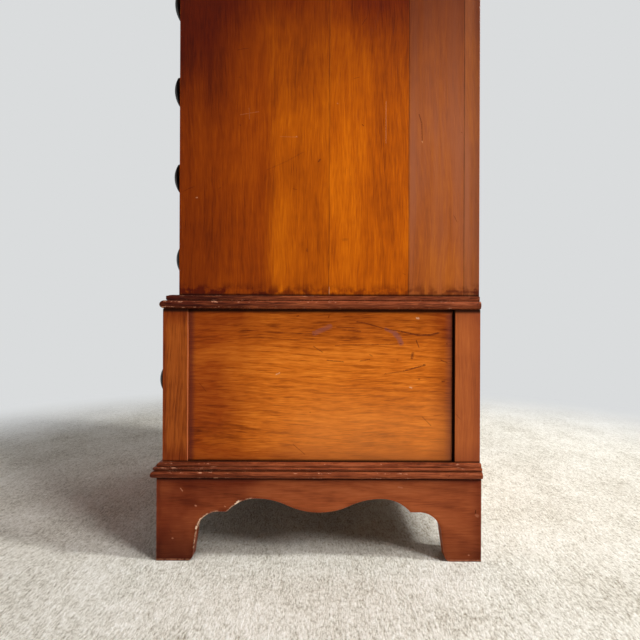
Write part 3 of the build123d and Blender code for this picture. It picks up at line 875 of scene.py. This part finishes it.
PANEL_CHIPS = (
    (0.0020, 1.0, (0.171, 0.386), (0.1735, 0.3855)),
    (0.0014, 0.8, (0.160, 0.2745), (0.163, 0.2735)),
    (0.0012, 0.8, (-0.056, 0.294), (-0.050, 0.297)),
)
SCORE_COLOUR = linear(78, 26, 12)
SMEAR_COLOUR = linear(138, 78, 66)


def panel_marks(g, x, y, z, colour):
    """Scores, smears and chips of the right-hand panel."""
    right = x > 0.0
    colour = g.mix(strokes(g, y, z, PANEL_SMEARS) * right * 0.8, colour, SMEAR_COLOUR)
    colour = g.mix(strokes(g, y, z, PANEL_SCORES) * right * 0.85, colour, SCORE_COLOUR)
    return g.mix(strokes(g, y, z, PANEL_CHIPS) * right, colour, RAW)


# Marks on the right-hand upper side: half width, strength, then points (y, z)
SIDE_SCORES = (
    (0.0009, 0.45, (-0.072, 0.624), (-0.040, 0.638), (-0.013, 0.653)),
    (0.0016, 0.9, (0.0115, 0.6375), (0.014, 0.6415)),
    (0.0014, 0.7, (-0.007, 0.497), (-0.0065, 0.493)),
    (0.0030, 0.35, (0.052, 0.5115), (0.058, 0.5125)),
    (0.0013, 0.8, (0.1735, 0.714), (0.1775, 0.700), (0.1785, 0.672)),
    (0.0030, 0.8, (0.220, 0.4295), (0.268, 0.4275)),
)
SIDE_CHIPS = (
    (0.0014, 1.0, (-0.1855, 0.579), (-0.184, 0.579)),
    (0.0008, 0.25, (-0.115, 0.713), (-0.085, 0.718)),
    (0.0007, 0.25, (-0.101, 0.724), (-0.100, 0.706)),
    (0.0008, 0.25, (-0.050, 0.678), (-0.0225, 0.677)),
    (0.0011, 0.8, (-0.0245, 0.678), (-0.0238, 0.678)),
    (0.0012, 0.8, (0.1785, 0.671), (0.179, 0.669)),
    (0.0009, 0.9, (0.0295, 0.4355), (0.0295, 0.424)),
    (0.0009, 0.5, (0.120, 0.735), (0.120, 0.668)),
    (0.0010, 0.5, (0.041, 0.732), (0.0425, 0.731)),
)


def side_marks(g, x, y, z, colour):
    """Scores and chips of the right-hand upper side."""
    right = x > 0.0
    colour = g.mix(strokes(g, y, z, SIDE_SCORES) * right * 0.8, colour, SCORE_COLOUR)
    return g.mix(strokes(g, y, z, SIDE_CHIPS) * right * 0.8, colour, WORN)


# Places on the right-hand skirt, points (y, z): chipped stretches of the arch edge, then marks on the face
SKIRT_CHIPS = (
    (0.0050, 1.0, (-0.117, 0.091), (-0.110, 0.099)),
    (0.0050, 0.9, (-0.179, 0.047), (-0.177, 0.061)),
    (0.0045, 0.9, (-0.172, 0.068), (-0.164, 0.075)),
    (0.0040, 0.5, (-0.160, 0.077), (-0.148, 0.079)),
    (0.0040, 0.6, (-0.130, 0.079), (-0.119, 0.089)),
    (0.0035, 0.5, (-0.108, 0.100), (-0.092, 0.100)),
    (0.0040, 0.6, (-0.181, 0.046), (-0.183, 0.022)),
)
SKIRT_MARKS = (
    (0.0011, 0.8, (-0.205, 0.1145), (-0.202, 0.1105)),
    (0.0017, 0.8, (-0.1815, 0.0875), (-0.1805, 0.0870)),
    (0.0016, 0.6, (-0.218, 0.0355), (-0.217, 0.0355)),
    (0.0013, 0.6, (-0.135, 0.0865), (-0.134, 0.0860)),
    (0.0034, 0.35, (0.264, 0.0735), (0.266, 0.0725)),
    (0.0013, 0.7, (0.2515, 0.0105), (0.2525, 0.0105)),
    (0.0016, 0.4, (0.140, 0.118), (0.146, 0.117)),
)
SKIRT_CREAM = (
    (0.0019, 1.0, (-0.1185, 0.0897), (-0.1130, 0.0948)),
    (0.0012, 0.9, (-0.1735, 0.0672), (-0.1765, 0.0600)),
    (0.0016, 1.0, (-0.1800, 0.0540), (-0.1805, 0.0510)),
    (0.0010, 0.8, (-0.1390, 0.0765), (-0.1380, 0.0762)),
)


# How far the rubbed line and the chips reach in from the arch edge, and where the floor has rubbed
RIM_WIDTH = 0.0022
RIM_CHIP_REACH = 0.005
FOOT_RUB_HEIGHT = 0.0022
FOOT_RUB_WIDTH = 0.0016
RIM_COLOUR = linear(190, 116, 84)
RIM_CHIP_COLOUR = linear(236, 200, 164)
CREAM = linear(244, 216, 184)
FOOT_RUB_COLOUR = linear(190, 128, 96)
SKIRT_MARK_COLOUR = linear(206, 140, 104)


def base_marks(g, x, y, z, colour):
    """Chips along the arch edge, a thin rubbed line round it and pale marks on the right-hand skirt."""
    right = x > 0.0
    broken = g.noise(x, y, z, per_metre=260, detail=4, roughness=0.75)
    line = g.span(g.edge(RIM_WIDTH), 0.25, 0.7) * g.span(broken, 0.42, 0.56)
    colour = g.mix(line * 0.35, colour, RIM_COLOUR)
    chip = g.span(g.edge(RIM_CHIP_REACH), 0.05, 0.25) * g.span(broken, 0.42, 0.54)
    colour = g.mix(chip * strokes(g, y, z, SKIRT_CHIPS) * right, colour, RIM_CHIP_COLOUR)
    colour = g.mix(strokes(g, y, z, SKIRT_CREAM) * right, colour, CREAM)
    foot = g.near(z, FOOT_RUB_HEIGHT, FOOT_RUB_WIDTH) * g.span(broken, 0.35, 0.5)
    colour = g.mix(foot * 0.6, colour, FOOT_RUB_COLOUR)
    return g.mix(strokes(g, y, z, SKIRT_MARKS) * right * 0.8, colour, SKIRT_MARK_COLOUR)


def case_wood():
    """Upper sides, each of five upright boards."""
    return wood(
        "case_wood", "Z", seed=0.3, shades=(linear(122, 48, 2), linear(180, 84, 4), linear(218, 114, 10)),
        ring=0.009, figure=0.07, curl=0.1, broad=0.6, fibre_length=0.06, crisp=0.5, pores=0.2,
        stain=upper_stain, bare=bare_inside, shade_and_grime=case_join_shade, marks=side_marks, seams=SEAMS,
        wear=0.2, chips=1.0, scratch=0.35,
    )


def top_wood():
    """Top board."""
    return wood(
        "top_wood", "top", seed=1.7, shades=(linear(106, 40, 4), linear(162, 74, 8), linear(204, 106, 20)),
        ring=0.016, figure=0.1, broad=0.6, wear=0.7, chips=0.4, scratch=0.8,
    )


def panel_wood():
    """Recessed side panels of the lower case, with level grain."""
    return wood(
        "panel_wood", "Y", seed=2.2, shades=(linear(130, 57, 6), linear(198, 102, 22), linear(227, 132, 39)),
        ring=0.0065, figure=0.13, curl=0.12, broad=0.8, fibre_length=0.04, crisp=0.7, pores=0.25,
        stain=panel_stain, bare=bare_inside, shade_and_grime=lower_painted_shade, marks=panel_marks,
        wear=0.2, chips=0.6, scratch=0.5,
    )


def frame_wood():
    """Corner stiles and side rails of the lower case."""
    return wood(
        "frame_wood", "Z", seed=3.1, shades=(linear(112, 46, 8), linear(172, 88, 27), linear(196, 110, 43)),
        broad=0.3, crisp=0.65, pores=0.2, stain=stile_stain, bare=bare_inside, shade_and_grime=lower_painted_shade,
        wear=0.5, worn=RUBBED_AND_HIGHLIGHT, chips=0.4, scratch=0.3,
    )


def rail_wood():
    """Front rails between the drawers."""
    return wood(
        "rail_wood", "X", seed=3.9, shades=(linear(104, 42, 8), linear(156, 72, 18), linear(190, 98, 34)),
        wear=0.6, scratch=0.3,
    )


def drawer_front_wood():
    """Drawer fronts, bare at the back."""
    return wood(
        "drawer_front_wood", "X", seed=4.6,
        shades=(linear(118, 48, 4), linear(180, 84, 8), linear(220, 118, 22)),
        ring=0.016, figure=0.1, curl=0.2, broad=0.6, bare=bare_behind, wear=0.8, chips=0.4, scratch=0.5,
    )


def moulding_wood():
    """Base, waist and cornice mouldings under an old dark finish."""
    return wood(
        "moulding_wood", "mitred", seed=5.3,
        shades=(linear(60, 22, 11), linear(122, 57, 30), linear(160, 86, 52)),
        stain=moulding_stain, wear=1.7, worn=linear(174, 110, 82), raw=linear(208, 156, 122), hollow=0.9,
        chips=1.2, scratch=0.3,
    )


def base_wood():
    """Front and side skirt boards of the bracket base."""
    return wood(
        "base_wood", "mitred", seed=6.4,
        shades=(linear(92, 38, 17), linear(150, 75, 38), linear(176, 98, 55)),
        ring=0.006, figure=0.12, curl=0.1, fibre_length=0.05, crisp=0.42, pores=0.1,
        stain=base_stain, marks=base_marks, shade_and_grime=base_shadow_and_floor_marks, wear=0.6, chips=0.5, scratch=0.4,
    )


def drawer_wood():
    """Unfinished pale sides and backs of the drawers."""
    return wood(
        "drawer_wood", "Y", seed=7.7,
        shades=(linear(150, 108, 66), linear(196, 154, 104), linear(222, 186, 138)),
        figure=0.3, broad=0.8, wear=0.3, roughness=0.62, specular=0.2, coat=0.0,
    )


def inner_wood():
    """Unfinished boards inside the cases and behind the base, stained on the edges that show."""
    return wood(
        "inner_wood", "Y", seed=8.1,
        shades=(linear(128, 90, 56), linear(176, 134, 92), linear(204, 166, 120)),
        figure=0.3, broad=0.8, stain=inner_stain, roughness=0.7, specular=0.2, coat=0.0,
    )


def plywood():
    """Back panels and drawer bottoms."""
    return wood(
        "plywood", "X", seed=9.4,
        shades=(linear(112, 76, 44), linear(150, 110, 70), linear(176, 136, 92)),
        ring=0.03, figure=0.22, broad=0.7, roughness=0.68, specular=0.2, coat=0.0, scratch=0.2,
    )


# Knobs: reach of the rubbed rim, depth of the brush marks, and the colours of paint and rubbed rim
KNOB_RIM = 0.0015
BRUSH_DEPTH = 0.00008
KNOB_SHADES = ((0.35, linear(6, 5, 5)), (0.75, linear(20, 17, 15)))
KNOB_RUBBED = linear(92, 66, 48)


def knob_black():
    """Black semi-gloss paint, brushed on and faintly scuffed."""
    g = Tree(bpy.data.materials.new("knob_black"))
    x, y, z = g.place()
    scuff = g.noise(x, y, z, per_metre=160, detail=4, roughness=0.7)
    brush = g.noise(x, y, z, per_metre=(30, 400, 30), detail=2)
    rubbed = g.span(g.edge(KNOB_RIM), 0.2, 0.8) * g.span(scuff, 0.5, 0.62)
    colour = g.mix(rubbed * 0.6, g.ramp(scuff, *KNOB_SHADES), KNOB_RUBBED)
    rough = g.span(scuff, 0.3, 0.7, 0.4, 0.56)
    return g.finish(g.surface(colour, rough, brush, BRUSH_DEPTH, specular=0.06))


FINISHES = (
    case_wood, top_wood, panel_wood, frame_wood, rail_wood, drawer_front_wood, moulding_wood, base_wood,
    drawer_wood, inner_wood, plywood, knob_black,
)
materials = {finish.__name__: finish() for finish in FINISHES}

# Width of the eased edges for each finish, and how they are made
EASED = {
    "knob_black": 0.0006, "moulding_wood": 0.0007, "drawer_wood": 0.0006, "inner_wood": 0.0008,
    "plywood": 0.0004, "panel_wood": 0.0006, "top_wood": 0.0015,
}
EASED_ELSEWHERE = 0.0012
EASED_ANGLE = math.radians(32)
EASED_STEPS = 3
WELD_REACH = 0.00002
RAILS = ("lower_front_rails", "upper_front_rails")


def soften(piece, width):
    """Eases the square edges of a carried-over node and shades its curves smoothly."""
    mesh = piece.data
    mesh.polygons.foreach_set("use_smooth", [True] * len(mesh.polygons))
    if "custom_normal" in mesh.attributes:
        mesh.attributes.remove(mesh.attributes["custom_normal"])
    weld = piece.modifiers.new("weld", "WELD")
    weld.merge_threshold = WELD_REACH
    bevel = piece.modifiers.new("eased edges", "BEVEL")
    bevel.limit_method = "ANGLE"
    bevel.angle_limit = EASED_ANGLE
    bevel.width = width
    bevel.segments = EASED_STEPS
    bevel.harden_normals = True


for node_name, piece in nodes.items():
    slot = piece.material_slots[0]
    kind = slot.material.name.split(".")[0]
    soften(piece, EASED.get(kind, EASED_ELSEWHERE))
    slot.material = materials["rail_wood" if node_name in RAILS else kind]
